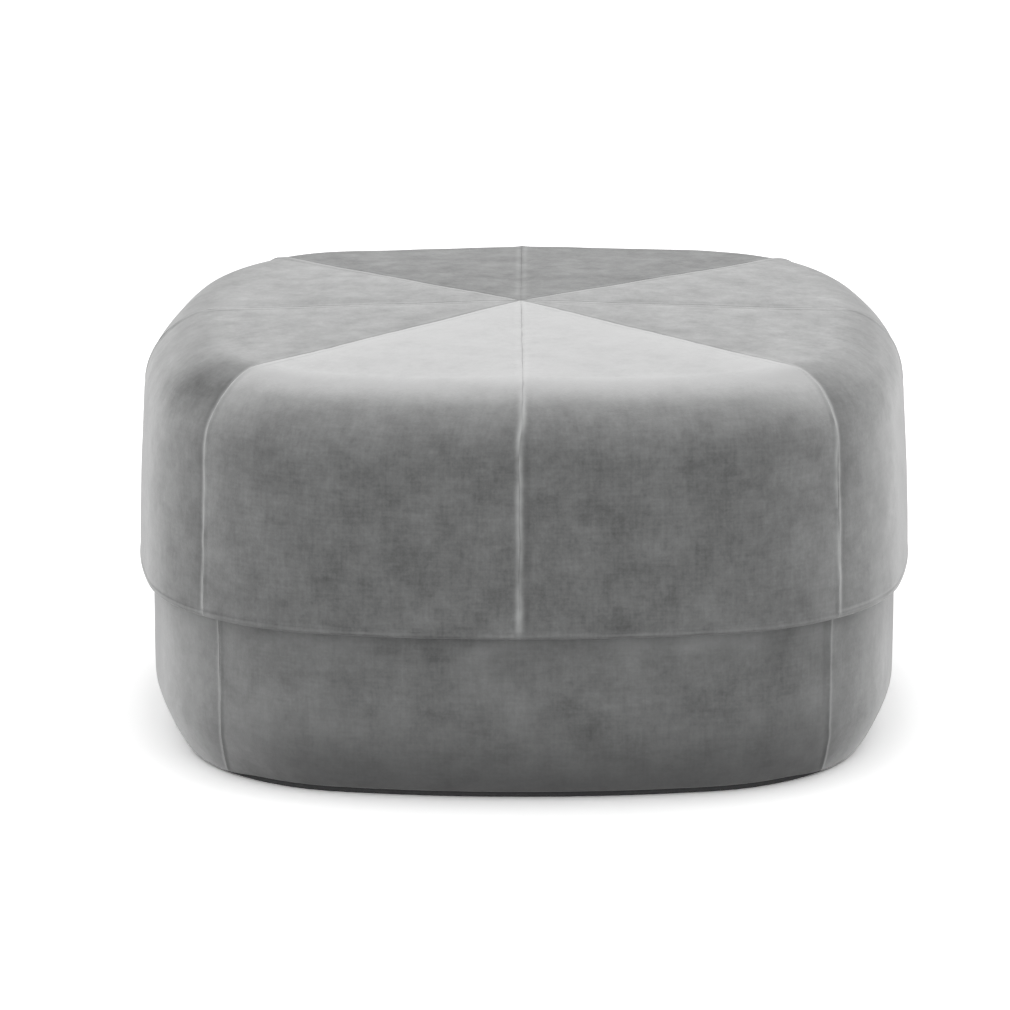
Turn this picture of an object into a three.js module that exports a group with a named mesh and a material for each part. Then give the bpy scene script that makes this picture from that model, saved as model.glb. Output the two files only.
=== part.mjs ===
// Low upholstered pouf in short grey velvet, in two levels, a rounded square seen from above.
// Sizes are in millimetres, with +Z up. The origin is on the floor under the middle of the pouf,
// and its front faces -Y.

import * as THREE from 'three';

// Outline at the hem, seen from above: four bowed sides joined by round corners
const halfWidth = 325;
const sideBowRadius = 820;
const cornerRadius = 192;

// Cap, in heights above the floor, in how far it falls away towards its top, and in how far the
// filling of its top has slipped to the right
const hemHeight = 141.7;
const topEdgeHeight = 342.6;
const crownRise = 6.6;
const wallLean = 5;
const shoulderWidth = 64;
const shoulderDrop = 63;
const topSlip = 2.5;

// Hem of the cap: the cloth is turned under in a roll that stands out of the wall
const hemRollRadius = 3.2;
const hemRollStandsOut = 1;
const hemRollFadeHeight = 7.5;

// Base, and how its cloth is pulled under near the floor: a slant with soft ends. A fullness of 1
// would be a straight bevel, and 2 a quarter of an ellipse.
const baseInset = 12.4;
const tuckWidth = 21;
const tuckHeight = 40;
const tuckFullness = 1.3;

// Dark underside, which stands on the floor and shows as a narrow band under the cloth
const undersideThickness = 4.7;
const undersideInset = 2;

// Cloth between its seams, which puffs out on the wall and sinks in on the top
const wallPuff = 1.8;
const topHollow = 1.8;
const pieceGap = 0.3;
const middleOfTop = new THREE.Vector2(-2.7, 0);
const middleOfBase = new THREE.Vector2(0, 0);

// Half of a sewn seam: how far each line lies from the crease, and how far it stands out of the cloth
const sewnEdge = [
  { away: 0, rise: 0 },
  { away: 1.3, rise: 1.2 },
  { away: 3.2, rise: 0 },
];

// Seams of the cap, anticlockwise from the middle of the front. They lie an eighth of the hem apart,
// and each has slipped a little along the hem in the sewing.
const capSeams = [
  { eighth: -2, slip: -4 },
  { eighth: -1, slip: -3.3 },
  { eighth: 0, slip: 0 },
  { eighth: 1, slip: -5 },
  { eighth: 2, slip: 5 },
  { eighth: 3, slip: -5 },
  { eighth: 4, slip: 0 },
  { eighth: 5, slip: -3.3 },
];

// Seams of the base, at its four corners, anticlockwise from the left end of the front
const baseSeams = [
  { eighth: -3, slip: 3 },
  { eighth: -1, slip: 0 },
  { eighth: 1, slip: 0 },
  { eighth: 3, slip: 0 },
];

// Steps of the faceted surfaces
const capColumns = 9;
const baseColumns = 15;
const wallSteps = 3;
const shoulderSteps = 8;
const tuckSteps = 8;
const outlineSteps = 64;
const topShares = [0.82, 0.62, 0.42, 0.22, 0.07];
const hemRollTurns = [-90, -45, 0, 45];

// Where the bowed sides meet the round corners
const quarterTurn = Math.PI / 2;
const bowCentre = sideBowRadius - halfWidth;
const radiusStep = sideBowRadius - cornerRadius;
const cornerCentre = (Math.sqrt(2 * radiusStep ** 2 - bowCentre ** 2) - bowCentre) / 2;
const bowHalfAngle = Math.atan2(cornerCentre, cornerCentre + bowCentre);
const bowHalfLength = bowHalfAngle * sideBowRadius;
const cornerHalfLength = (quarterTurn / 2 - bowHalfAngle) * cornerRadius;
const eighthLength = bowHalfLength + cornerHalfLength;

const velvet = { color: 0x8d908f, roughness: 0.95, metalness: 0 };
const darkCloth = { color: 0x1c1c1d, roughness: 0.9, metalness: 0 };

// The direction that the outline faces, at a distance along the hem from the middle of the right side
function facingAt(distance) {
  const side = Math.round(distance / (2 * eighthLength));
  const along = distance - side * 2 * eighthLength;
  const onBow = Math.min(Math.abs(along), bowHalfLength);
  const onCorner = Math.abs(along) - onBow;
  const turn = onBow / sideBowRadius + onCorner / cornerRadius;
  return side * quarterTurn + Math.sign(along) * turn;
}

// The point of the outline that faces a direction, moved inwards by an inset
function outlinePoint(facing, inset) {
  const side = Math.round(facing / quarterTurn) * quarterTurn;
  const turn = facing - side;
  const isBow = Math.abs(turn) <= bowHalfAngle;
  const radius = (isBow ? sideBowRadius : cornerRadius) - inset;
  const centreForward = isBow ? -bowCentre : cornerCentre;
  const centreAcross = isBow ? 0 : Math.sign(turn) * cornerCentre;
  const forward = centreForward + radius * Math.cos(turn);
  const across = centreAcross + radius * Math.sin(turn);
  return new THREE.Vector2(forward, across).rotateAround(new THREE.Vector2(), side);
}

// Even steps from 0 to 1, with both ends
function evenSteps(count) {
  return Array.from({ length: count + 1 }, (unused, index) => index / count);
}

// A profile is a list of rows, from the edge of the flat underside round to the top. Each row holds
// its inset and height, the share of the way out from the middle, the upward tilt of the cloth in
// radians, how much of the sewn edge it takes, how far it puffs out between the seams, and how far
// it has slipped to the right.
function profileRow(values) {
  return { share: 1, tilt: 0, sewn: 1, puff: 0, slip: 0, ...values };
}

function hemRollRows() {
  const centreInset = hemRollRadius - hemRollStandsOut;
  return hemRollTurns.map((turn) => {
    const tilt = THREE.MathUtils.degToRad(turn);
    const inset = centreInset - hemRollRadius * Math.cos(tilt);
    const height = hemHeight + hemRollRadius * (1 + Math.sin(tilt));
    return profileRow({ inset, height, tilt, sewn: tilt < 0 ? 0 : 0.5 });
  });
}

function capWallRows() {
  const low = hemHeight + hemRollFadeHeight;
  const high = topEdgeHeight - shoulderDrop;
  return evenSteps(wallSteps).map((step) => {
    const height = low + (high - low) * step;
    const puff = wallPuff * Math.sin(Math.PI * (0.12 + 0.88 * step));
    return profileRow({ inset: wallLean * step, height, puff });
  });
}

function shoulderRows() {
  return evenSteps(shoulderSteps).slice(1).map((step) => {
    const tilt = step * quarterTurn;
    const inset = wallLean + shoulderWidth * (1 - Math.cos(tilt));
    const height = topEdgeHeight - shoulderDrop * (1 - Math.sin(tilt));
    const slip = topSlip * THREE.MathUtils.smoothstep(step, 0, 0.6);
    return profileRow({ inset, height, tilt, puff: -topHollow * step, slip });
  });
}

function topRows() {
  return topShares.map((share) => {
    const height = topEdgeHeight + crownRise * (1 - share ** 2);
    const inset = wallLean + shoulderWidth;
    const puff = -topHollow * share;
    return profileRow({ inset, height, share, tilt: quarterTurn, puff, slip: topSlip * share });
  });
}

function capProfile() {
  return [...hemRollRows(), ...capWallRows(), ...shoulderRows(), ...topRows()];
}

function baseProfile() {
  const low = undersideThickness + pieceGap;
  const bend = 2 / tuckFullness;
  const tuck = evenSteps(tuckSteps).map((step) => {
    const [across, up] = [Math.sin(step * quarterTurn), Math.cos(step * quarterTurn)];
    const inset = baseInset + tuckWidth * (1 - across ** bend);
    const height = low + tuckHeight * (1 - up ** bend);
    const tilt = -Math.atan2(up ** (2 - bend) / tuckHeight, across ** (2 - bend) / tuckWidth);
    return profileRow({ inset, height, tilt, sewn: step });
  });
  const high = hemHeight - pieceGap;
  const wall = evenSteps(wallSteps).slice(1).map((step) => {
    const height = low + tuckHeight + (high - low - tuckHeight) * step;
    return profileRow({ inset: baseInset, height, sewn: step < 1 ? 1 : 0 });
  });
  return [...tuck, ...wall];
}

// The lines of a panel that run up its cloth: its two sewn edges, and even columns between them
function panelColumns(start, end, count) {
  const startEdge = sewnEdge.map(({ away, rise }) => ({ distance: start, shift: away, rise, puff: 0 }));
  const endEdge = sewnEdge.map(({ away, rise }) => ({ distance: end, shift: -away, rise, puff: 0 }));
  const between = evenSteps(count + 1).slice(1, -1).map((step) => {
    const distance = start + (end - start) * step;
    return { distance, shift: 0, rise: 0, puff: Math.sin(Math.PI * step) };
  });
  return [...startEdge, ...between, ...endEdge.reverse()];
}

// Where a column crosses a row
function clothPoint(column, row, middle) {
  const facing = facingAt(column.distance);
  const outward = new THREE.Vector2(Math.cos(facing), Math.sin(facing));
  const along = new THREE.Vector2(-outward.y, outward.x);
  const standsOut = column.rise * row.sewn + column.puff * row.puff;
  const spot = outlinePoint(facing, row.inset).lerp(middle, 1 - row.share);
  spot.x += row.slip;
  spot.addScaledVector(along, column.shift);
  spot.addScaledVector(outward, standsOut * Math.cos(row.tilt));
  return new THREE.Vector3(spot.x, spot.y, row.height + standsOut * Math.sin(row.tilt));
}

// A filled panel, from the middle of the pouf out to the cloth between two seams
function panelGeometry(columns, profile, middle, lowHeight, highHeight) {
  const corners = [
    new THREE.Vector3(middle.x, middle.y, lowHeight),
    new THREE.Vector3(middle.x, middle.y, highHeight),
  ];
  const [low, high] = [0, 1];
  const cloth = columns.flatMap((column) => profile.map((row) => clothPoint(column, row, middle)));
  const at = (column, row) => corners.length + column * profile.length + row;
  const lastColumn = columns.length - 1;
  const lastRow = profile.length - 1;
  const faces = [];
  for (let column = 0; column < lastColumn; column += 1) {
    faces.push(low, at(column + 1, 0), at(column, 0));
    faces.push(high, at(column, lastRow), at(column + 1, lastRow));
    for (let row = 0; row < lastRow; row += 1) {
      faces.push(at(column, row), at(column + 1, row), at(column + 1, row + 1));
      faces.push(at(column, row), at(column + 1, row + 1), at(column, row + 1));
    }
  }
  for (let row = 0; row < lastRow; row += 1) {
    faces.push(low, at(0, row), at(0, row + 1));
    faces.push(low, at(lastColumn, row + 1), at(lastColumn, row));
  }
  faces.push(low, at(0, lastRow), high);
  faces.push(low, high, at(lastColumn, lastRow));
  const geometry = new THREE.BufferGeometry().setFromPoints([...corners, ...cloth]);
  geometry.setIndex(faces);
  geometry.computeVertexNormals();
  return geometry;
}

// A ring of panels, each moved off its two seams so that neighbours lie one gap apart
function panelRing({ name, seams, count, profile, middle, lowHeight, highHeight }) {
  const moveOut = pieceGap / 2 / Math.sin(Math.PI / seams.length);
  return seams.map((seam, index) => {
    const next = seams[(index + 1) % seams.length];
    const start = seam.eighth * eighthLength + seam.slip;
    const turnBack = next.eighth < seam.eighth ? 8 : 0;
    const end = (next.eighth + turnBack) * eighthLength + next.slip;
    const columns = panelColumns(start, end, count);
    const geometry = panelGeometry(columns, profile, middle, lowHeight, highHeight);
    const panel = new THREE.Mesh(geometry, new THREE.MeshStandardMaterial(velvet));
    const facing = ((seam.eighth + next.eighth + turnBack) / 4) * quarterTurn;
    panel.name = `${name}_${index + 1}`;
    panel.position.set(moveOut * Math.cos(facing), moveOut * Math.sin(facing), 0);
    return panel;
  });
}

function undersideMesh() {
  const inset = baseInset + tuckWidth + undersideInset;
  const points = evenSteps(outlineSteps).slice(1).map((step) => {
    return outlinePoint(facingAt(step * 8 * eighthLength), inset);
  });
  const geometry = new THREE.ExtrudeGeometry(new THREE.Shape(points), {
    depth: undersideThickness,
    bevelEnabled: false,
  });
  const mesh = new THREE.Mesh(geometry, new THREE.MeshStandardMaterial(darkCloth));
  mesh.name = 'underside';
  return mesh;
}

const capPanels = panelRing({
  name: 'cap_panel',
  seams: capSeams,
  count: capColumns,
  profile: capProfile(),
  middle: middleOfTop,
  lowHeight: hemHeight,
  highHeight: topEdgeHeight + crownRise,
});
const basePanels = panelRing({
  name: 'base_panel',
  seams: baseSeams,
  count: baseColumns,
  profile: baseProfile(),
  middle: middleOfBase,
  lowHeight: undersideThickness + pieceGap,
  highHeight: hemHeight - pieceGap,
});

const pouf = new THREE.Group();
pouf.add(...capPanels, ...basePanels, undersideMesh());

export default pouf;
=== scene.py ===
"""The looks of a low velvet pouf: its panels with their sewn edges, the hem, and the dark bottom cloth.

Everything is in metres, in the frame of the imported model: +Z up, the front faces -Y.
"""

import math
from typing import NamedTuple

import bpy
import numpy as np
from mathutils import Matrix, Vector, noise


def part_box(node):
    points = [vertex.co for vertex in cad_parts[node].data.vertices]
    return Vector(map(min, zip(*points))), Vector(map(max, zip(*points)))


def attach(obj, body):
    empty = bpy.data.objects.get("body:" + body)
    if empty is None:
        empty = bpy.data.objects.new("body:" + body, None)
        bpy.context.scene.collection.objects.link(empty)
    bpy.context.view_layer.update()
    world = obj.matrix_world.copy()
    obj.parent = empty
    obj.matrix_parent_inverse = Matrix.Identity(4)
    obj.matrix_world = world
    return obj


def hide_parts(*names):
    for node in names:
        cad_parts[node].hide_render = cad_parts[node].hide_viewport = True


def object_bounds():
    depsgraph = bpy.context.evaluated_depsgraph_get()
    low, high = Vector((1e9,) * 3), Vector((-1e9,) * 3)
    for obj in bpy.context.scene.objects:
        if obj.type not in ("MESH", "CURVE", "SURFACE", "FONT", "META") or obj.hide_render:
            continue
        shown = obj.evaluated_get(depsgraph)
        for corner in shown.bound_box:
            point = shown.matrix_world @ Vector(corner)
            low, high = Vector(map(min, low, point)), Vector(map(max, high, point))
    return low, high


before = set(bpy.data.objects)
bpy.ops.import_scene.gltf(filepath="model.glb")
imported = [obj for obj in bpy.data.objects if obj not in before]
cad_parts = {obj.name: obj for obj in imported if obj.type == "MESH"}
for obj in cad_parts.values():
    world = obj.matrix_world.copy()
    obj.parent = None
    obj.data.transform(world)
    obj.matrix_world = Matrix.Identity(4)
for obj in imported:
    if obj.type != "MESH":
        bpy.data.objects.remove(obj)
cad_low, cad_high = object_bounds()

MM = 0.001

# Outline at the hem, seen from above: four bowed sides joined by round corners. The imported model's
# seams stand out from it.
SEAMS_OUTSIDE_HEM = 2 * MM
HALF_WIDTH = (cad_high.x - cad_low.x) / 2 - SEAMS_OUTSIDE_HEM
SIDE_BOW_RADIUS = 820 * MM
CORNER_RADIUS = 192 * MM

# Heights above the floor
HEM_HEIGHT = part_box("cap_panel_1")[0].z
SEAMS_ABOVE_CROWN = 1.2 * MM
CROWN_HEIGHT = cad_high.z - SEAMS_ABOVE_CROWN
CROWN_RISE = 6.6 * MM
TOP_EDGE_HEIGHT = CROWN_HEIGHT - CROWN_RISE
BASE_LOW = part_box("base_panel_1")[0].z
BASE_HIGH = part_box("base_panel_1")[1].z
UNDERSIDE_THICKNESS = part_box("underside")[1].z

# How the cap falls away from its top, and how far the filling of its top has slipped to the right.
# Its panels meet a little to the left of the middle.
WALL_LEAN = 5 * MM
SHOULDER_WIDTH = 64 * MM
SHOULDER_DROP = 63 * MM
TOP_SLIP = 2.5 * MM
MIDDLE_OF_TOP = np.array([-2.7 * MM, 0.0])

# How the base stands back from the cap and tucks under near the floor. A fullness of 1 would be a
# straight bevel, and 2 a quarter of an ellipse. The corner seams drift to the left and right sides as
# the cloth is drawn in, and it hangs closer to the floor there than at the front and the back.
BASE_INSET = 12.4 * MM
TUCK_WIDTH = 21 * MM
TUCK_HEIGHT = 40 * MM
TUCK_FULLNESS = 1.3
TUCK_SEAM_DRIFT = 0.7
SIDE_SAG = 3.4 * MM
SIDE_SAG_HALF_AT = 45
MIDDLE_OF_BASE = np.array([0.0, 0.0])
UNDERSIDE_INSET = 2 * MM
UNDERSIDE_EDGE = 1.2 * MM

# Hem: the cloth is turned under in a roll that stands out of the wall
HEM_ROLL_RADIUS = 3.2 * MM
HEM_STANDS_OUT = 1.0 * MM
HEM_ROLL_FADE = 8 * MM
HEM_TURNED_UNDER = (14 * MM, 4 * MM)

# Seams: one soft ridge on the wall. On the top the seam is pressed open, as a shallow groove between
# two low crests, the stuffed panels dip towards it, and the edge of its allowance shows through the
# panel on one side.
WALL_RIDGE_RISE = 1.0 * MM
WALL_RIDGE_REACH = 2.4 * MM
TOP_CREST_RISE = 0.15 * MM
TOP_CREST_FROM_SEAM = 3 * MM
TOP_CREST_REACH = 2.2 * MM
TOP_GROOVE_DEPTH = 0.03 * MM
TOP_GROOVE_REACH = 1.1 * MM
TOP_VALLEY_DEPTH = 2.3 * MM
TOP_VALLEY_REACH = 16 * MM
ALLOWANCE_WIDTH = 6.6 * MM
ALLOWANCE_RISE = 0.15 * MM

# A seam strays a little to the side, and the cloth beside it is puckered and goes along with it
SEAM_WOBBLE = 0.9 * MM
SEAM_WOBBLE_LENGTH = 38 * MM
SEAM_KNOT = 0.55 * MM
SEAM_KNOT_LENGTH = 12 * MM
SEAM_WOBBLE_REACH = 18 * MM
PUCKER_DEPTH = 0.25 * MM
PUCKER_LENGTH = 11 * MM
PUCKER_REACH = 14 * MM

# Cloth between its seams, which puffs out on the wall and sinks in on the top. Its unevenness fades
# towards the seams of the top.
WALL_PUFF = 1.8 * MM
TOP_HOLLOW = 1.8 * MM
UNEVEN_HEIGHT = 0.9 * MM
UNEVEN_LENGTH = 95 * MM
DIMPLE_HEIGHT = 0.25 * MM
DIMPLE_LENGTH = 28 * MM
TOP_EVEN_BESIDE_SEAM = 12 * MM

# Where a panel runs to a point in the middle of the top, all that lies beside its seams shrinks. These
# are the panel's widths from which each has its full size.
RIDGE_FULL_FROM = 16 * MM
VALLEY_FULL_FROM = 80 * MM
ALLOWANCE_FULL_FROM = 30 * MM
WOBBLE_FULL_FROM = 60 * MM

# How far the pile leans: up the wall, most over the shoulder, and inwards on the top
WALL_LEAN_OF_PILE = 0.42
SHOULDER_LEAN_OF_PILE = 0.58

# Along the sewn edges the pile is paler, partly rubbed and partly a painted highlight on the ridges of the
# wall's seams and the crests of the top's, and the hem's roll gets a painted highlight. This paleness goes
# up and down from its middle value in slow stretches, and along the seams in fine ones too; so does the
# painted light on the hem and the base.
WALL_SEAM_WEAR_AND_HIGHLIGHT_REACH = 3.1 * MM
TOP_CREST_HIGHLIGHT = 0.3
TOP_CREST_HIGHLIGHT_REACH = 2 * MM
SEAM_WEAR_AND_HIGHLIGHT = 0.64
SEAM_WEAR_AND_HIGHLIGHT_SLOW = 0.8
SEAM_WEAR_AND_HIGHLIGHT_SLOW_LENGTH = 30 * MM
SEAM_WEAR_AND_HIGHLIGHT_FINE = 0.4
SEAM_WEAR_AND_HIGHLIGHT_FINE_LENGTH = 9 * MM
HEM_HIGHLIGHT = 0.15
PAINTED_LIGHT_MIDDLE = 0.65
PAINTED_LIGHT_SLOW = 0.9
PAINTED_LIGHT_SLOW_LENGTH = 40 * MM

# Painted shade beside the seam on the wall, where no allowance lies under the cloth, and a fainter
# painted shade in the seam on the top
WALL_SEAM_SHADE = 0.3
WALL_SEAM_SHADE_FROM_SEAM = 6 * MM
WALL_SEAM_SHADE_REACH = 2.6 * MM
TOP_SEAM_SHADE = 0.03
TOP_SEAM_SHADE_REACH = 1.2 * MM

# The base's cloth is painted lighter all over, to make up for the light that the cap keeps off it, and
# most of all just under the cap. Its seams are less pale than the cap's, and at the front and the back
# painted shade darkens it towards the floor.
BASE_PAINTED_LIGHT = 0.15
BASE_RIM_PAINTED_LIGHT = 0.25
BASE_SEAM_WEAR_AND_HIGHLIGHT = 0.25
BASE_SHADE = 0.8
BASE_SHADE_HEIGHT = 95 * MM
BASE_SHADE_HALF_AT = 56

# What differs between the sides and the front or the back is half-way at a direction that is given in
# degrees from the front or the back, and it changes over this many degrees before and after that
SIDE_BLEND = 10

# How finely the cloth is laid: lines of points up a panel, close together beside each seam, where they
# take up at most this share of its width, and even between them, and the number of rows across it. The
# top's rows run this far in from its edge to the middle.
BESIDE_SEAM = np.array([0, 0.4, 0.8, 1.2, 1.7, 2.2, 2.8, 3.4, 4.1, 5, 6, 6.5, 7, 9, 12, 15]) * MM
BESIDE_SEAM_SHARE = 0.42
CAP_LINES = 30
BASE_LINES = 70
HEM_ROWS = 24
WALL_ROWS = 36
SHOULDER_ROWS = 36
TOP_ROWS = 62
TOP_RUN_IN = 0.985
TUCK_ROWS = 28
BASE_WALL_ROWS = 30
UNDERSIDE_POINTS = 128


class Seam(NamedTuple):
    """A seam's place along the hem, in eighths from the middle of the right side, and how far it slipped.

    Its allowance lies under the panel that ends at the seam, or under the one that starts there.
    """

    eighth: int
    slip: float
    under_next: bool = False


class Panel(NamedTuple):
    """A panel of velvet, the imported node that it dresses, its two seams, and the lie of its pile.

    The pile sways sideways on the wall by sway, and by end_sway near the second seam. On the top it
    leans by top_lean and is turned by top_turn, and shoulder_sway turns it where the shoulder rounds
    a corner.
    """

    name: str
    node: str
    start: Seam
    end: Seam
    sway: float = 0.0
    end_sway: float = 0.0
    top_lean: float = 0.2
    top_turn: float = 0.0
    shoulder_sway: float = 0.0


def lap_on(seam):
    """The same seam, reached after a whole lap."""
    return seam._replace(eighth=seam.eighth + 8)


FRONT = Seam(-2, -4 * MM)
FRONT_RIGHT = Seam(-1, -3.3 * MM)
RIGHT = Seam(0, 0.0)
BACK_RIGHT = Seam(1, -5 * MM)
BACK = Seam(2, 5 * MM)
BACK_LEFT = Seam(3, -5 * MM, under_next=True)
LEFT = Seam(4, 0.0, under_next=True)
FRONT_LEFT = Seam(5, -3.3 * MM, under_next=True)

CAP_PANELS = [
    Panel("cap_velvet_front_right", "cap_panel_1", FRONT, FRONT_RIGHT, top_lean=0.19, shoulder_sway=0.15),
    Panel(
        "cap_velvet_right_front",
        "cap_panel_2",
        FRONT_RIGHT,
        RIGHT,
        sway=0.45,
        end_sway=0.45,
        top_turn=0.3,
    ),
    Panel("cap_velvet_right_back", "cap_panel_3", RIGHT, BACK_RIGHT, sway=0.2, end_sway=0.2, top_turn=0.4),
    Panel("cap_velvet_back_right", "cap_panel_4", BACK_RIGHT, BACK, top_lean=0.3),
    Panel("cap_velvet_back_left", "cap_panel_5", BACK, BACK_LEFT, top_lean=0.3),
    Panel("cap_velvet_left_back", "cap_panel_6", BACK_LEFT, LEFT, sway=-0.2, end_sway=-0.2, top_turn=-0.4),
    Panel(
        "cap_velvet_left_front",
        "cap_panel_7",
        LEFT,
        FRONT_LEFT,
        sway=-0.2,
        end_sway=-0.2,
        top_turn=-0.4,
        shoulder_sway=0.35,
    ),
    Panel("cap_velvet_front_left", "cap_panel_8", FRONT_LEFT, lap_on(FRONT), top_lean=0.19),
]

BASE_FRONT_LEFT = Seam(-3, 3 * MM)
BASE_FRONT_RIGHT = Seam(-1, 0.0, under_next=True)
BASE_BACK_RIGHT = Seam(1, 0.0)
BASE_BACK_LEFT = Seam(3, 0.0)

BASE_PANELS = [
    Panel("base_velvet_front", "base_panel_1", BASE_FRONT_LEFT, BASE_FRONT_RIGHT, sway=0.1, end_sway=-1.0),
    Panel("base_velvet_right", "base_panel_2", BASE_FRONT_RIGHT, BASE_BACK_RIGHT, sway=0.6, end_sway=0.8),
    Panel("base_velvet_back", "base_panel_3", BASE_BACK_RIGHT, BASE_BACK_LEFT, sway=0.3, end_sway=0.3),
    Panel(
        "base_velvet_left",
        "base_panel_4",
        BASE_BACK_LEFT,
        lap_on(BASE_FRONT_LEFT),
        sway=-0.8,
        end_sway=-0.8,
    ),
]

QUARTER = math.pi / 2

# Where the bowed sides meet the round corners
BOW_CENTRE = SIDE_BOW_RADIUS - HALF_WIDTH
RADIUS_STEP = SIDE_BOW_RADIUS - CORNER_RADIUS
CORNER_CENTRE = (math.sqrt(2 * RADIUS_STEP**2 - BOW_CENTRE**2) - BOW_CENTRE) / 2
BOW_HALF_ANGLE = math.atan2(CORNER_CENTRE, CORNER_CENTRE + BOW_CENTRE)


def eighth_length(inset):
    """Length of an eighth of the outline, from the middle of a side to a corner."""
    bow = BOW_HALF_ANGLE * (SIDE_BOW_RADIUS - inset)
    return bow + (QUARTER / 2 - BOW_HALF_ANGLE) * (CORNER_RADIUS - inset)


def facing_at(distance, inset=0.0):
    """The directions that the outline faces, at distances along it from the middle of the right side."""
    quarter_length = 2 * eighth_length(inset)
    side = np.round(distance / quarter_length)
    along = distance - side * quarter_length
    bow_length = BOW_HALF_ANGLE * (SIDE_BOW_RADIUS - inset)
    on_bow = np.minimum(np.abs(along), bow_length)
    on_corner = np.abs(along) - on_bow
    turn = on_bow / (SIDE_BOW_RADIUS - inset) + on_corner / (CORNER_RADIUS - inset)
    return side * QUARTER + np.sign(along) * turn


def distance_at(facing, inset):
    """The distance along the outline, moved in by an inset, of the point that faces a direction."""
    side = round(facing / QUARTER)
    turn = facing - side * QUARTER
    on_bow = min(abs(turn), BOW_HALF_ANGLE)
    on_corner = abs(turn) - on_bow
    along = on_bow * (SIDE_BOW_RADIUS - inset) + on_corner * (CORNER_RADIUS - inset)
    return side * 2 * eighth_length(inset) + math.copysign(along, turn)


def outline_points(facing, inset):
    """The points of the outline that face those directions, moved in by an inset."""
    side = np.round(facing / QUARTER) * QUARTER
    turn = facing - side
    on_bow = np.abs(turn) <= BOW_HALF_ANGLE
    radius = np.where(on_bow, SIDE_BOW_RADIUS, CORNER_RADIUS) - inset
    forward = np.where(on_bow, -BOW_CENTRE, CORNER_CENTRE) + radius * np.cos(turn)
    across = np.where(on_bow, 0.0, np.sign(turn) * CORNER_CENTRE) + radius * np.sin(turn)
    x = forward * np.cos(side) - across * np.sin(side)
    y = forward * np.sin(side) + across * np.cos(side)
    return np.stack([x, y], axis=-1)


class Row(NamedTuple):
    """One row of cloth across a panel: where it lies, which way it faces, and what shapes and wears it.

    Share is how much of the outline's size is left, and tilt is how far the cloth faces up. The rest
    say how much of each effect the row gets.
    """

    inset: float
    height: float
    share: float = 1.0
    tilt: float = 0.0
    slip: float = 0.0
    sewn: float = 1.0
    puff: float = WALL_PUFF
    uneven: float = 1.0
    sag: float = 0.0
    lean: float = WALL_LEAN_OF_PILE
    on_top: float = 0.0
    # Paler by painted light over the row, and by wear and a painted highlight along the seams; darker by
    # painted shade
    wear_and_painted_light: float = 0.0
    seam_wear_and_highlight: float = 1.0
    shade: float = 0.0
    front_shade: float = 0.0
    seam_drift: float = 0.0


def steps(count):
    """Even steps from 0 to 1, with both ends."""
    return [index / count for index in range(count + 1)]


def smooth(low, high, value):
    """0 below low, 1 above high, and a soft turn between them."""
    part = np.clip((value - low) / (high - low), 0.0, 1.0)
    return part * part * (3 - 2 * part)


def hem_rows():
    """The roll at the hem, from the flat underside round to the wall."""
    centre = HEM_ROLL_RADIUS - HEM_STANDS_OUT
    # The cloth turned under the hem is painted in full shade
    rows = [
        Row(centre + reach, HEM_HEIGHT, tilt=-QUARTER, sewn=0, puff=0, uneven=0, shade=1)
        for reach in HEM_TURNED_UNDER
    ]
    for step in steps(HEM_ROWS):
        tilt = QUARTER * (1.5 * step - 1)
        inset = centre - HEM_ROLL_RADIUS * math.cos(tilt)
        height = HEM_HEIGHT + HEM_ROLL_RADIUS * (1 + math.sin(tilt))
        lean = math.tan(math.atan(WALL_LEAN_OF_PILE) - max(0.0, tilt))
        # A painted highlight along the top of the roll, and painted shade on its underside
        wear_and_painted_light = HEM_HIGHLIGHT * smooth(0.5, 0.6, step) * (1 - smooth(0.7, 0.85, step))
        shade = 0.6 * (1 - smooth(0.3, 0.5, step))
        rows.append(
            Row(
                inset,
                height,
                tilt=tilt,
                sewn=0.55 * step,
                puff=0,
                uneven=0,
                lean=lean,
                wear_and_painted_light=wear_and_painted_light,
                shade=shade,
            )
        )
    return rows


def cap_wall_rows():
    """The cap's wall, which leans in a little towards its top."""
    low = HEM_HEIGHT + HEM_ROLL_FADE
    high = TOP_EDGE_HEIGHT - SHOULDER_DROP
    rows = []
    for step in steps(WALL_ROWS):
        puff = WALL_PUFF * math.sin(math.pi * (0.12 + 0.88 * step))
        rows.append(Row(WALL_LEAN * step, low + (high - low) * step, puff=puff, uneven=smooth(0, 0.4, step)))
    return rows


def shoulder_rows():
    """The soft shoulder, a quarter of an ellipse from the wall to the top."""
    rows = []
    for step in steps(SHOULDER_ROWS)[1:]:
        tilt = step * QUARTER
        inset = WALL_LEAN + SHOULDER_WIDTH * (1 - math.cos(tilt))
        height = TOP_EDGE_HEIGHT - SHOULDER_DROP * (1 - math.sin(tilt))
        slip = TOP_SLIP * smooth(0, 0.6, step)
        lean = WALL_LEAN_OF_PILE + (SHOULDER_LEAN_OF_PILE - WALL_LEAN_OF_PILE) * smooth(0.5, 0.68, step)
        on_top = smooth(0.72, 1, step)
        puff = -TOP_HOLLOW * step
        rows.append(Row(inset, height, tilt=tilt, slip=slip, puff=puff, lean=lean, on_top=on_top))
    return rows


def top_rows():
    """The top, which rises slightly to its middle."""
    inset = WALL_LEAN + SHOULDER_WIDTH
    rows = []
    for step in steps(TOP_ROWS)[1:]:
        share = 1 - TOP_RUN_IN * step
        height = TOP_EDGE_HEIGHT + CROWN_RISE * (1 - share**2)
        slip = TOP_SLIP * share
        puff = -TOP_HOLLOW * share
        rows.append(Row(inset, height, share, QUARTER, slip, puff=puff, uneven=share, on_top=1))
    return rows


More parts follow.
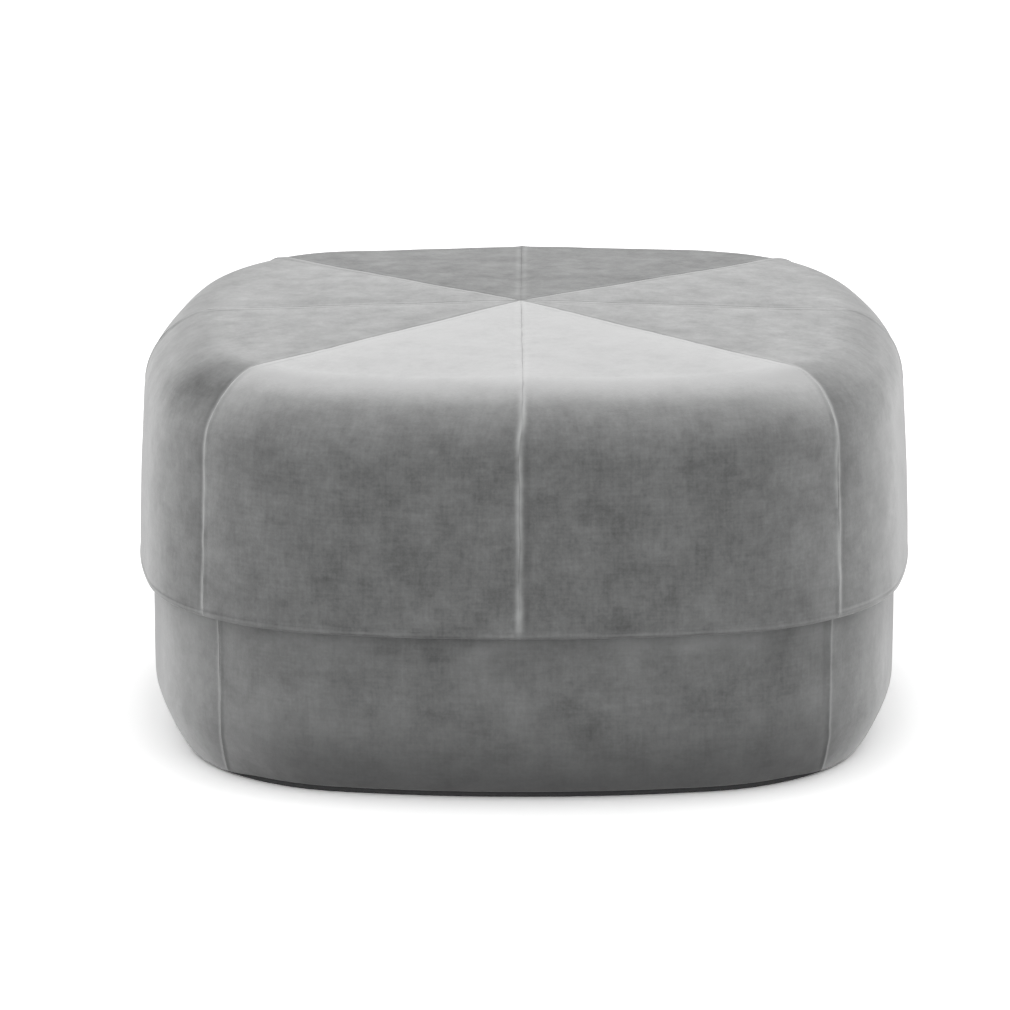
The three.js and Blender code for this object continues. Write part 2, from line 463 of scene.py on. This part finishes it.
def base_rows():
    """The base, from the flat bottom round its tuck and up the wall to under the cap."""
    under = BASE_INSET + TUCK_WIDTH + 12 * MM
    # The flat bottom is painted in full shade
    rows = [
        Row(inset, BASE_LOW, tilt=-QUARTER, sewn=0, puff=0, uneven=0, shade=1)
        for inset in (under, BASE_INSET + TUCK_WIDTH + 1.2 * MM)
    ]
    bend = 2 / TUCK_FULLNESS
    for step in steps(TUCK_ROWS):
        across = math.sin(step * QUARTER)
        up = max(0.0, math.cos(step * QUARTER))
        inset = BASE_INSET + TUCK_WIDTH * (1 - across**bend)
        height = BASE_LOW + TUCK_HEIGHT * (1 - up**bend)
        tilt = -math.atan2(up ** (2 - bend) / TUCK_HEIGHT, across ** (2 - bend) / TUCK_WIDTH)
        sewn = smooth(0, 0.3, step)
        # Painted shade darkens the tuck towards the floor at the front and the back, and painted light lifts
        # the whole row
        shade = BASE_SHADE * (1 - smooth(0, BASE_SHADE_HEIGHT, height))
        sag = SIDE_SAG * (1 - smooth(0, 0.7, step))
        rows.append(
            Row(
                inset,
                height,
                tilt=tilt,
                sewn=sewn,
                puff=WALL_PUFF * step,
                uneven=step,
                sag=sag,
                wear_and_painted_light=BASE_PAINTED_LIGHT,
                seam_wear_and_highlight=BASE_SEAM_WEAR_AND_HIGHLIGHT,
                front_shade=shade,
                seam_drift=TUCK_SEAM_DRIFT * (inset - BASE_INSET),
            )
        )
    low = BASE_LOW + TUCK_HEIGHT
    for step in steps(BASE_WALL_ROWS)[1:]:
        height = low + (BASE_HIGH - low) * step
        # Painted shade towards the floor at the front and the back, and painted light that is strongest just
        # under the cap
        shade = BASE_SHADE * (1 - smooth(0, BASE_SHADE_HEIGHT, height))
        wear_and_painted_light = BASE_PAINTED_LIGHT + BASE_RIM_PAINTED_LIGHT * smooth(BASE_HIGH - 26 * MM, BASE_HIGH - 3 * MM, height)
        rows.append(Row(BASE_INSET, height, wear_and_painted_light=wear_and_painted_light, seam_wear_and_highlight=BASE_SEAM_WEAR_AND_HIGHLIGHT, front_shade=shade))
    # The top of the base, hidden under the cap, is painted in full shade
    rows.append(Row(BASE_INSET + 10 * MM, BASE_HIGH, tilt=QUARTER, sewn=0, puff=0, uneven=0, shade=1))
    return rows


def column_offsets(width, between):
    """Distances from a panel's first seam of its lines of points, close together beside the seams."""
    edge = BESIDE_SEAM * min(1.0, BESIDE_SEAM_SHARE * width / BESIDE_SEAM[-1])
    middle = edge[-1] + (width - 2 * edge[-1]) * np.array(steps(between + 1))[1:-1]
    return np.concatenate([edge, middle, (width - edge)[::-1]])


def bump(away, reach):
    """A soft bump that is 1 at the middle and fades over that reach."""
    return np.exp(-((away / reach) ** 2))


def sewn_edge_height(away, width, on_top):
    """How far the cloth stands out beside a seam: a ridge on the wall, a groove and a crest on the top."""
    size = np.clip(width / RIDGE_FULL_FROM, 0.15, 1.0)
    ridge = WALL_RIDGE_RISE * bump(away, WALL_RIDGE_REACH * size)
    crest = TOP_CREST_RISE * bump(away - TOP_CREST_FROM_SEAM * size, TOP_CREST_REACH * size)
    groove = TOP_GROOVE_DEPTH * bump(away, TOP_GROOVE_REACH * size)
    return size * (ridge + (crest - groove - ridge) * on_top)


def top_valley_depth(away, width):
    """How far the stuffed top dips towards a seam."""
    size = np.clip(width / VALLEY_FULL_FROM, 0.1, 1.0)
    return size * TOP_VALLEY_DEPTH * np.exp(-away / (size * TOP_VALLEY_REACH))


def noise_at(points, length, seed):
    """Smooth noise from -1 to 1 at some points, with features about as long as length."""
    shift = Vector((seed * 7.31, seed * 3.17, seed * 5.23))
    return np.array([noise.noise(Vector(point) / length + shift) for point in points])


def seam_wobble(seam, rows, lengths):
    """How far a seam strays to the side along its length. Both of its panels share it."""
    number = seam.eighth % 8
    slow = noise_at([(s, number, 0.5) for s in lengths / SEAM_WOBBLE_LENGTH], 1.0, number)
    quick = noise_at([(s, number, 0.5) for s in lengths / SEAM_KNOT_LENGTH], 1.0, number + 9)
    steady = np.array([1 - 0.75 * row.on_top for row in rows])
    return steady * (SEAM_WOBBLE * slow + SEAM_KNOT * quick)


def side_share(facing, half_at):
    """1 where the cloth faces left or right, 0 at the front and the back, and half in between."""
    low = math.sin(math.radians(half_at - SIDE_BLEND))
    high = math.sin(math.radians(half_at + SIDE_BLEND))
    return smooth(low, high, np.abs(np.cos(facing)))


class Cloth(NamedTuple):
    """A panel's cloth as rows of points, with what its shading needs at each point."""

    points: np.ndarray
    pile: np.ndarray
    wear_and_painted_light: np.ndarray
    painted_shade: np.ndarray
    weave: np.ndarray


def row_lengths(rows):
    """The distance up the cloth of each row, from the first one."""
    places = np.array([[row.inset + (1 - row.share) * (HALF_WIDTH - row.inset), row.height] for row in rows])
    return np.concatenate([[0.0], np.cumsum(np.linalg.norm(np.diff(places, axis=0), axis=1))])


class Line(NamedTuple):
    """A row's points before the cloth is shaped: where they lie and face, and how far along the row."""

    flat: np.ndarray
    facing: np.ndarray
    out: np.ndarray
    around: np.ndarray
    away: np.ndarray
    width: float
    from_seam: np.ndarray
    up_seam: float
    first_half: np.ndarray
    has_allowance: np.ndarray


def cloth_height(row, line, seed):
    """How far the cloth stands out at each point of a line."""
    height = row.sewn * sewn_edge_height(line.from_seam, line.width, row.on_top)
    inwards = smooth(0, 1, row.on_top) * smooth(-0.12, 0.25, 1 - row.share)
    height -= inwards * top_valley_depth(line.from_seam, line.width)
    inside = 1 - smooth(ALLOWANCE_WIDTH - 0.6 * MM, ALLOWANCE_WIDTH + 0.4 * MM, line.from_seam)
    over_allowance = line.has_allowance * inside
    height += row.on_top * ALLOWANCE_RISE * over_allowance * min(1.0, line.width / ALLOWANCE_FULL_FROM)
    height += row.puff * np.abs(np.sin(math.pi * line.away / line.width)) ** 0.8
    uneven = row.uneven * (1 - row.on_top * (1 - smooth(0, TOP_EVEN_BESIDE_SEAM, line.from_seam)))
    height += uneven * UNEVEN_HEIGHT * noise_at(line.flat, UNEVEN_LENGTH, seed)
    height += uneven * DIMPLE_HEIGHT * noise_at(line.flat, DIMPLE_LENGTH, seed + 1)
    up_puckers = line.up_seam / PUCKER_LENGTH
    pucker = noise_at([(up_puckers, seed, half) for half in line.first_half], 1.0, seed)
    height += row.sewn * PUCKER_DEPTH * pucker * np.exp(-line.from_seam / PUCKER_REACH)
    return height


def pile_lean(panel, row, line, towards, side):
    """Which way and how far the pile leans at each point: up the wall and inwards on the top."""
    over = smooth(0, 0.45 * QUARTER, row.tilt)
    level = 1 - smooth(0, 0.75 * QUARTER, -row.tilt)
    brushed = towards + (side - towards) * over + panel.top_turn * row.on_top
    inward = np.array([-level * math.cos(brushed), -level * math.sin(brushed), 1.0])
    pile = inward - line.out * (line.out @ inward)[:, None]
    pile = pile / np.linalg.norm(pile, axis=1)[:, None]
    sway = panel.sway + (panel.end_sway - panel.sway) * smooth(0.5, 0.9, line.away / line.width)
    pile += ((1 - over) * sway)[:, None] * line.around
    lean = row.lean + (panel.top_lean - row.lean) * row.on_top
    leaning = lean * pile / np.linalg.norm(pile, axis=1)[:, None]
    at_corner = smooth(0.05 * QUARTER, 0.35 * QUARTER, np.abs(line.facing - side))
    turned = row.tilt / QUARTER
    on_shoulder = smooth(0.15, 0.5, turned) * (1 - smooth(0.5, 1.0, turned))
    leaning += (panel.shoulder_sway * at_corner * on_shoulder)[:, None] * line.around
    return leaning


def noise_up_seam(line, length, seed, draw):
    """Noise that changes up a seam, and differs between a panel's two seams."""
    return noise_at([(line.up_seam / length, half, seed) for half in line.first_half], 1.0, draw)


def wear_and_painted_light_share(row, line, seed):
    """How much paler the pile is at each point: rubbed and with a painted highlight along the seams, and
    painted light over the whole row.
    """
    # Paleness along the seams, partly rubbed pile and partly a painted highlight on their ridges and crests
    seam_wear_and_highlight_strength = SEAM_WEAR_AND_HIGHLIGHT + SEAM_WEAR_AND_HIGHLIGHT_SLOW * noise_up_seam(line, SEAM_WEAR_AND_HIGHLIGHT_SLOW_LENGTH, seed, 3)
    seam_wear_and_highlight_strength += SEAM_WEAR_AND_HIGHLIGHT_FINE * noise_up_seam(line, SEAM_WEAR_AND_HIGHLIGHT_FINE_LENGTH, seed, 4)
    on_edge = (1 - row.on_top) * bump(line.from_seam, WALL_SEAM_WEAR_AND_HIGHLIGHT_REACH)
    on_edge += TOP_CREST_HIGHLIGHT * row.on_top * bump(line.from_seam - TOP_CREST_FROM_SEAM, TOP_CREST_HIGHLIGHT_REACH)
    seam_wear_and_highlight = row.sewn * row.seam_wear_and_highlight * seam_wear_and_highlight_strength * on_edge
    # Painted light over the whole row, a highlight on the hem's roll and a lift on the base, unevenly strong
    painted_light_strength = PAINTED_LIGHT_MIDDLE + PAINTED_LIGHT_SLOW * noise_at(line.flat, PAINTED_LIGHT_SLOW_LENGTH, 5)
    return np.clip(np.maximum(row.wear_and_painted_light * painted_light_strength, seam_wear_and_highlight), 0, 1)


def painted_shade_share(row, line):
    """How much darker the pile is painted at each point, with painted shade beside the seams and over the
    whole row.
    """
    # Painted shade beside the seams on the wall and in the seams on the top
    seam_side_shade = (1 - line.has_allowance) * (1 - row.on_top) * WALL_SEAM_SHADE
    seam_side_shade = seam_side_shade * bump(line.from_seam - WALL_SEAM_SHADE_FROM_SEAM, WALL_SEAM_SHADE_REACH)
    seam_shade = row.sewn * (seam_side_shade + TOP_SEAM_SHADE * row.on_top * bump(line.from_seam, TOP_SEAM_SHADE_REACH))
    # Painted shade towards the floor, kept to the front and the back
    towards_floor = row.front_shade * (1 - side_share(line.facing, BASE_SHADE_HALF_AT))
    return np.maximum(row.shade + towards_floor, seam_shade)


def lay_cloth(panel, rows, middle, between, seed):
    """Lays a panel's cloth over its rows, from its first seam to its second."""
    seams = (panel.start, panel.end)
    seam_facings = [float(facing_at(seam.eighth * eighth_length(0.0) + seam.slip)) for seam in seams]
    lengths = row_lengths(rows)
    wobbles = [seam_wobble(seam, rows, lengths) for seam in seams]
    ways_to_side = [1 if seam.eighth % 4 == 3 else -1 for seam in seams]
    towards = (seam_facings[0] + seam_facings[1]) / 2
    side = round(towards / QUARTER) * QUARTER
    found = []
    for index, row in enumerate(rows):
        start, end = (
            distance_at(facing, row.inset) + row.seam_drift * way
            for facing, way in zip(seam_facings, ways_to_side)
        )
        width = (end - start) * row.share
        away = column_offsets(width, between)
        near_start = bump(away, SEAM_WOBBLE_REACH) * min(1.0, width / WOBBLE_FULL_FROM)
        near_end = bump(width - away, SEAM_WOBBLE_REACH) * min(1.0, width / WOBBLE_FULL_FROM)
        moved = away + wobbles[0][index] * near_start + wobbles[1][index] * near_end
        facing = facing_at(start + moved / row.share, row.inset)
        across = math.cos(row.tilt)
        up = math.sin(row.tilt)
        out = np.column_stack([np.cos(facing) * across, np.sin(facing) * across, np.full_like(facing, up)])
        spots = middle + row.share * (outline_points(facing, row.inset) - middle) + np.array([row.slip, 0.0])
        sag = row.sag * side_share(facing, SIDE_SAG_HALF_AT)
        first_half = away < width / 2
        line = Line(
            flat=np.column_stack([spots, row.height - sag]),
            facing=facing,
            out=out,
            around=np.column_stack([-np.sin(facing), np.cos(facing), np.zeros_like(facing)]),
            away=away,
            width=width,
            from_seam=np.minimum(away, width - away),
            up_seam=lengths[index],
            first_half=first_half,
            has_allowance=np.where(first_half, panel.start.under_next, not panel.end.under_next),
        )
        weave = [away - width / 2, np.full_like(away, line.up_seam), np.full_like(away, seed)]
        found.append(
            Cloth(
                points=line.flat + out * cloth_height(row, line, seed)[:, None],
                pile=pile_lean(panel, row, line, towards, side),
                wear_and_painted_light=wear_and_painted_light_share(row, line, seed),
                painted_shade=painted_shade_share(row, line),
                weave=np.column_stack(weave),
            )
        )
    return Cloth(*(np.array(part) for part in zip(*found)))


def panel_object(panel, rows, middle, between, low, high, seed):
    """A filled panel, from the middle of the pouf out to its velvet."""
    cloth = lay_cloth(panel, rows, middle, between, seed)
    row_count, column_count = cloth.points.shape[:2]
    inner = [(*middle, low), (*middle, high)]
    points = cloth.points.reshape(-1, 3).tolist() + inner
    low_point = len(points) - 2
    high_point = len(points) - 1

    def at(row, column):
        return row * column_count + column

    faces = []
    for column in range(column_count - 1):
        faces.append((low_point, at(0, column + 1), at(0, column)))
        faces.append((high_point, at(row_count - 1, column), at(row_count - 1, column + 1)))
        for row in range(row_count - 1):
            low_edge = (at(row, column), at(row, column + 1))
            faces.append((*low_edge, at(row + 1, column + 1), at(row + 1, column)))
    side_faces = 2 * row_count
    for row in range(row_count - 1):
        faces.append((low_point, at(row, 0), at(row + 1, 0)))
        faces.append((low_point, at(row + 1, column_count - 1), at(row, column_count - 1)))
    faces.append((low_point, at(row_count - 1, 0), high_point))
    faces.append((low_point, high_point, at(row_count - 1, column_count - 1)))

    mesh = bpy.data.meshes.new(panel.name)
    mesh.from_pydata(points, [], faces)
    mesh.shade_smooth()
    for face in mesh.polygons[-side_faces:]:
        face.use_smooth = False
    write_attribute(mesh, "pile", "FLOAT_VECTOR", cloth.pile, [(0, 0, 1)] * 2)
    write_attribute(mesh, "wear_and_painted_light", "FLOAT", cloth.wear_and_painted_light, [0.0] * 2)
    write_attribute(mesh, "painted_shade", "FLOAT", cloth.painted_shade, [0.0] * 2)
    write_attribute(mesh, "weave", "FLOAT_VECTOR", cloth.weave, [(0, 0, 0)] * 2)
    return add_object(panel.name, mesh)


def write_attribute(mesh, name, kind, values, inner_values):
    """Keeps a value for each point of a mesh, for its material to read."""
    attribute = mesh.attributes.new(name, kind, "POINT")
    key = "vector" if kind == "FLOAT_VECTOR" else "value"
    flat = np.concatenate([np.ravel(values), np.ravel(inner_values)]).astype(np.float32)
    attribute.data.foreach_set(key, flat)


def add_object(name, mesh):
    """Puts a mesh in the scene as an object of that name."""
    thing = bpy.data.objects.new(name, mesh)
    bpy.context.scene.collection.objects.link(thing)
    return thing


def bottom_cloth_object():
    """The dark bottom cloth on its board, with a soft edge, as (object, flat area, width)."""
    inset = BASE_INSET + TUCK_WIDTH + UNDERSIDE_INSET
    edge = UNDERSIDE_EDGE
    count = UNDERSIDE_POINTS
    distances = np.arange(count) * 8 * eighth_length(0.0) / count
    facing = facing_at(distances)
    lower_half = [(40 * MM, 0.0), (edge, 0.0), (0.3 * edge, 0.3 * edge), (0.0, edge)]
    upper_half = [(further_in, UNDERSIDE_THICKNESS - height) for further_in, height in reversed(lower_half)]
    rings = lower_half + upper_half
    points = []
    for further_in, height in rings:
        points += [(x, y, height) for x, y in outline_points(facing, inset + further_in)]
    faces = []
    for ring in range(len(rings) - 1):
        for index in range(count):
            after = (index + 1) % count
            low_edge = (ring * count + index, ring * count + after)
            faces.append((*low_edge, low_edge[1] + count, low_edge[0] + count))
    faces.append(tuple(reversed(range(count))))
    faces.append(tuple(range((len(rings) - 1) * count, len(rings) * count)))
    mesh = bpy.data.meshes.new("bottom_cloth")
    mesh.from_pydata(points, [], faces)
    mesh.shade_smooth()
    cloth = add_object("bottom_cloth", mesh)
    rim = outline_points(facing, inset)
    ahead = np.roll(rim, -1, axis=0)
    area = abs(np.sum(rim[:, 0] * ahead[:, 1] - rim[:, 1] * ahead[:, 0])) / 2
    return cloth, float(area), 2 * (HALF_WIDTH - inset)


# Node groups and materials


def new_group(name, inputs, outputs):
    """An empty node group with named inputs and outputs, given as (name, kind, value)."""
    group = bpy.data.node_groups.new(name, "ShaderNodeTree")
    for label, kind, value in inputs:
        socket = group.interface.new_socket(label, in_out="INPUT", socket_type=kind)
        socket.default_value = value
    for label, kind in outputs:
        group.interface.new_socket(label, in_out="OUTPUT", socket_type=kind)
    return group, group.nodes.new("NodeGroupInput"), group.nodes.new("NodeGroupOutput")


def add_node(tree, kind, links=(), **settings):
    """Adds a node, sets its properties and unlinked inputs, and joins the given sockets to its inputs."""
    node = tree.nodes.new(kind)
    for key, value in settings.items():
        setattr(node, key, value)
    for key, source in dict(links).items():
        if isinstance(source, bpy.types.NodeSocket):
            tree.links.new(source, node.inputs[key])
        else:
            node.inputs[key].default_value = source
    return node


def math_node(tree, operation, first, second=0.0):
    """A Math node's output."""
    return add_node(tree, "ShaderNodeMath", {0: first, 1: second}, operation=operation).outputs[0]


def vector_node(tree, operation, first, second=(0.0, 0.0, 0.0), scale=None):
    """A Vector Math node's output."""
    links = {0: first}
    if scale is None:
        links[1] = second
    else:
        links["Scale"] = scale
    return add_node(tree, "ShaderNodeVectorMath", links, operation=operation).outputs[0]


def mix_colour(tree, share, first, second):
    """A Mix node's colour, from the first one at a share of 0 to the second at 1."""
    links = {0: share, 6: first, 7: second}
    return add_node(tree, "ShaderNodeMix", links, data_type="RGBA").outputs[2]


def attribute(tree, name):
    """The Attribute node for one of the cloth's own values."""
    return add_node(tree, "ShaderNodeAttribute", attribute_name=name)


def brushed_pile_group():
    """Pile that leans one way, ruffled in soft patches: a normal tilted along the pile."""
    group, given, result = new_group(
        "Brushed pile",
        [
            ("Lean", "NodeSocketFloat", 1.0),
            ("Ruffle", "NodeSocketFloat", 0.05),
            ("Patch size", "NodeSocketFloat", 0.02),
        ],
        [("Normal", "NodeSocketVector")],
    )
    place = add_node(group, "ShaderNodeTexCoord").outputs["Object"]
    frequency = math_node(group, "DIVIDE", 1.0, given.outputs["Patch size"])
    patchy = {"Vector": place, "Scale": frequency, "Detail": 4.0, "Roughness": 0.8}
    patches = add_node(group, "ShaderNodeTexNoise", patchy)
    centred = vector_node(group, "SUBTRACT", patches.outputs["Color"], (0.5, 0.5, 0.5))
    ruffle = vector_node(group, "SCALE", centred, scale=given.outputs["Ruffle"])
    pile = attribute(group, "pile").outputs["Vector"]
    lean = vector_node(group, "SCALE", pile, scale=given.outputs["Lean"])
    normal = add_node(group, "ShaderNodeNewGeometry").outputs["Normal"]
    tilted = vector_node(group, "ADD", vector_node(group, "ADD", normal, lean), ruffle)
    group.links.new(vector_node(group, "NORMALIZE", tilted), result.inputs["Normal"])
    return group


def velvet_colour_group():
    """Colour of the velvet: mottled, with fine threads both ways, paler where rubbed and where light is
    painted on, darker where shade is painted on.
    """
    group, given, result = new_group(
        "Velvet colour",
        [
            ("Colour", "NodeSocketColor", (0.2, 0.2, 0.2, 1)),
            ("Rubbed colour", "NodeSocketColor", (0.4, 0.4, 0.4, 1)),
            ("Crease colour", "NodeSocketColor", (0.05, 0.05, 0.05, 1)),
            ("Mottle", "NodeSocketFloat", 0.1),
            ("Weave", "NodeSocketFloat", 0.05),
        ],
        [("Colour", "NodeSocketColor")],
    )
    place = add_node(group, "ShaderNodeTexCoord").outputs["Object"]
    clouds = {"Vector": place, "Scale": 22.0, "Detail": 5.0, "Roughness": 0.85}
    broad = add_node(group, "ShaderNodeTexNoise", clouds)
    mottle = math_node(group, "SUBTRACT", broad.outputs["Fac"], 0.5)
    mottle = math_node(group, "MULTIPLY", mottle, given.outputs["Mottle"])
    weave = attribute(group, "weave").outputs["Vector"]
    streaks = 0.0
    for stretch in ((900.0, 90.0, 1.0), (90.0, 900.0, 1.0)):
        scaled = vector_node(group, "MULTIPLY", weave, stretch)
        threads = add_node(group, "ShaderNodeTexNoise", {"Vector": scaled, "Scale": 0.45, "Detail": 2.0})
        streak = math_node(group, "SUBTRACT", threads.outputs["Fac"], 0.5)
        streaks = math_node(group, "ADD", streaks, streak)
    streaks = math_node(group, "MULTIPLY", streaks, given.outputs["Weave"])
    brightness = math_node(group, "ADD", math_node(group, "ADD", mottle, streaks), 1.0)
    base = vector_node(group, "SCALE", given.outputs["Colour"], scale=brightness)
    # Paler where rubbed and where light and highlights are painted on
    wear_and_painted_light = attribute(group, "wear_and_painted_light").outputs["Fac"]
    with_wear_and_painted_light = mix_colour(group, wear_and_painted_light, base, given.outputs["Rubbed colour"])
    # Painted shade beside the seams, under the hem's roll, on hidden rows and towards the floor
    painted_shade = attribute(group, "painted_shade").outputs["Fac"]
    with_painted_shade = mix_colour(group, painted_shade, with_wear_and_painted_light, given.outputs["Crease colour"])
    group.links.new(with_painted_shade, result.inputs["Colour"])
    return group


def pile_height_group():
    """Relief of the short pile and of the ground weave under it."""
    group, given, result = new_group(
        "Pile height",
        [("Tuft size", "NodeSocketFloat", 0.0012), ("Tuft share", "NodeSocketFloat", 0.7)],
        [("Height", "NodeSocketFloat")],
    )
    place = add_node(group, "ShaderNodeTexCoord").outputs["Object"]
    frequency = math_node(group, "DIVIDE", 1.0, given.outputs["Tuft size"])
    tufts = add_node(group, "ShaderNodeTexNoise", {"Vector": place, "Scale": frequency, "Detail": 2.0})
    clumps = add_node(group, "ShaderNodeTexNoise", {"Vector": place, "Scale": 150.0, "Detail": 3.0})
    blend = {0: given.outputs["Tuft share"], 2: clumps.outputs["Fac"], 3: tufts.outputs["Fac"]}
    both = add_node(group, "ShaderNodeMix", blend, data_type="FLOAT")
    group.links.new(both.outputs[0], result.inputs["Height"])
    return group


def new_material(name):
    """A material with its nodes cleared but for a Principled shader, as (material, tree, shader)."""
    material = bpy.data.materials.new(name)
    material.use_nodes = True
    return material, material.node_tree, material.node_tree.nodes["Principled BSDF"]


def use_group(tree, group, **values):
    """Places a node group with its own values. A value's name has _ for each space."""
    node = tree.nodes.new("ShaderNodeGroup")
    node.node_tree = group
    for key, value in values.items():
        node.inputs[key.replace("_", " ")].default_value = value
    return node


VELVET_GREY = (0.109, 0.1113, 0.1104, 1)
# A paler grey for wear and for painted light and highlights
WEAR_AND_PAINTED_LIGHT_GREY = (0.33, 0.336, 0.334, 1)
# A dark grey for painted shade
PAINTED_SHADE_GREY = (0.03, 0.0305, 0.0305, 1)
BOTTOM_BLACK = (0.035, 0.035, 0.036, 1)
BOTTOM_WORN_BLACK = (0.07, 0.07, 0.072, 1)


def velvet_material(pile, colour, height):
    """Short grey velvet, dark face on and pale where it is seen across the pile."""
    material, tree, shader = new_material("grey_velvet")
    tint = use_group(
        tree,
        colour,
        Colour=VELVET_GREY,
        Rubbed_colour=WEAR_AND_PAINTED_LIGHT_GREY,
        Crease_colour=PAINTED_SHADE_GREY,
        Mottle=2.4,
        Weave=0.4,
    )
    nap = use_group(tree, pile, Lean=1.0, Ruffle=0.38, Patch_size=0.03)
    relief = use_group(tree, height, Tuft_size=0.0011, Tuft_share=0.5)
    tufted = {
        "Height": relief.outputs["Height"],
        "Normal": nap.outputs["Normal"],
        "Strength": 0.25,
        "Distance": 0.0006,
    }
    surface = add_node(tree, "ShaderNodeBump", tufted)
    tree.links.new(tint.outputs["Colour"], shader.inputs["Base Color"])
    tree.links.new(surface.outputs["Normal"], shader.inputs["Normal"])
    shader.inputs["Roughness"].default_value = 0.95
    shader.inputs["Specular IOR Level"].default_value = 0.15
    shader.inputs["Sheen Weight"].default_value = 1.0
    shader.inputs["Sheen Roughness"].default_value = 0.6
    shader.inputs["Sheen Tint"].default_value = (1.0, 1.0, 1.0, 1.0)
    return material


def bottom_cloth_material():
    """Matt black bottom cloth with a fine crossing thread."""
    material, tree, shader = new_material("black_bottom_cloth")
    place = add_node(tree, "ShaderNodeTexCoord").outputs["Object"]
    grain = add_node(tree, "ShaderNodeTexNoise", {"Vector": place, "Scale": 420.0, "Detail": 3.0})
    shade = mix_colour(tree, grain.outputs["Fac"], BOTTOM_BLACK, BOTTOM_WORN_BLACK)
    threads = add_node(tree, "ShaderNodeTexWave", {"Vector": place, "Scale": 260.0, "Distortion": 1.5})
    woven = {"Height": threads.outputs["Fac"], "Strength": 0.3, "Distance": 0.0004}
    surface = add_node(tree, "ShaderNodeBump", woven)
    tree.links.new(shade, shader.inputs["Base Color"])
    tree.links.new(surface.outputs["Normal"], shader.inputs["Normal"])
    shader.inputs["Roughness"].default_value = 0.9
    return material


def dress(piece, material, slot, *nodes):
    """Gives a piece its finish and its place in the model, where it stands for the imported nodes."""
    piece.data.materials.append(material)
    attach(piece, "root")
    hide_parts(*nodes)


def make_pouf():
    """The velvet panels of the cap and the base, and the bottom cloth."""
    velvet = velvet_material(brushed_pile_group(), velvet_colour_group(), pile_height_group())
    cap = [*hem_rows(), *cap_wall_rows(), *shoulder_rows(), *top_rows()]
    for seed, panel in enumerate(CAP_PANELS):
        piece = panel_object(panel, cap, MIDDLE_OF_TOP, CAP_LINES, HEM_HEIGHT, CROWN_HEIGHT, seed)
        dress(piece, velvet, "velvet", panel.node)
    base = base_rows()
    for seed, panel in enumerate(BASE_PANELS, start=len(CAP_PANELS)):
        piece = panel_object(panel, base, MIDDLE_OF_BASE, BASE_LINES, BASE_LOW, BASE_HIGH, seed)
        dress(piece, velvet, "velvet", panel.node)
    cloth, area, width = bottom_cloth_object()
    dress(cloth, bottom_cloth_material(), "bottom_cloth", "underside")


# The pale floor, the soft light and the camera


FLOOR_REACH = 40.0
FLOOR_WHITE = (1.33, 1.33, 1.33, 1)
FLOOR_BOUNCE_GREY = (0.8, 0.8, 0.8, 1)


def make_floor():
    """A wide floor, lit up to plain white, that throws a little less light back up than it shows."""
    corners = [(-FLOOR_REACH, -FLOOR_REACH, 0), (FLOOR_REACH, -FLOOR_REACH, 0)]
    corners += [(FLOOR_REACH, FLOOR_REACH, 0), (-FLOOR_REACH, FLOOR_REACH, 0)]
    mesh = bpy.data.meshes.new("floor")
    mesh.from_pydata(corners, [], [(0, 1, 2, 3)])
    floor = add_object("floor", mesh)
    material, tree, shader = new_material("pale_floor")
    seen = add_node(tree, "ShaderNodeLightPath").outputs["Is Camera Ray"]
    shade = mix_colour(tree, seen, FLOOR_BOUNCE_GREY, FLOOR_WHITE)
    tree.links.new(shade, shader.inputs["Base Color"])
    shader.inputs["Roughness"].default_value = 0.9
    shader.inputs["Specular IOR Level"].default_value = 0.0
    mesh.materials.append(material)


def add_softbox(name, place, aim, size, power):
    """A large square light at a place, turned towards a point."""
    data = bpy.data.lights.new(name, "AREA")
    data.shape = "SQUARE"
    data.size = size
    data.energy = power
    light = bpy.data.objects.new(name, data)
    light.location = place
    light.rotation_mode = "QUATERNION"
    light.rotation_quaternion = (Vector(aim) - Vector(place)).to_track_quat("-Z", "Y")
    bpy.context.scene.collection.objects.link(light)


def make_light():
    """White surroundings and a softbox overhead."""
    world = bpy.data.worlds.new("white_room")
    world.use_nodes = True
    background = world.node_tree.nodes["Background"]
    background.inputs["Color"].default_value = (1, 1, 1, 1)
    background.inputs["Strength"].default_value = 1.03
    bpy.context.scene.world = world
    add_softbox("overhead", place=(0.0, 0.0, 3.0), aim=(0.0, 0.0, 0.0), size=1.2, power=10)
    bpy.context.scene.view_settings.view_transform = "Standard"


CAMERA_DISTANCE = 4.805
CAMERA_ELEVATION = math.radians(14.161)
CAMERA_AIM = (0.0, 0.0, 0.17)
CAMERA_LENS = 201.0
CAMERA_SENSOR = 36.0
CAMERA_SHIFT = (-0.01894, 0.00112)


def make_camera():
    """The camera, from the front and a little above, as in the photograph."""
    data = bpy.data.cameras.new("camera")
    data.lens = CAMERA_LENS
    data.sensor_width = CAMERA_SENSOR
    data.shift_x, data.shift_y = CAMERA_SHIFT
    camera = bpy.data.objects.new("camera", data)
    back = Vector((0.0, -math.cos(CAMERA_ELEVATION), math.sin(CAMERA_ELEVATION)))
    camera.location = Vector(CAMERA_AIM) + CAMERA_DISTANCE * back
    camera.rotation_mode = "QUATERNION"
    camera.rotation_quaternion = (-back).to_track_quat("-Z", "Y")
    bpy.context.scene.collection.objects.link(camera)
    bpy.context.scene.camera = camera


make_pouf()
make_floor()
make_light()
make_camera()
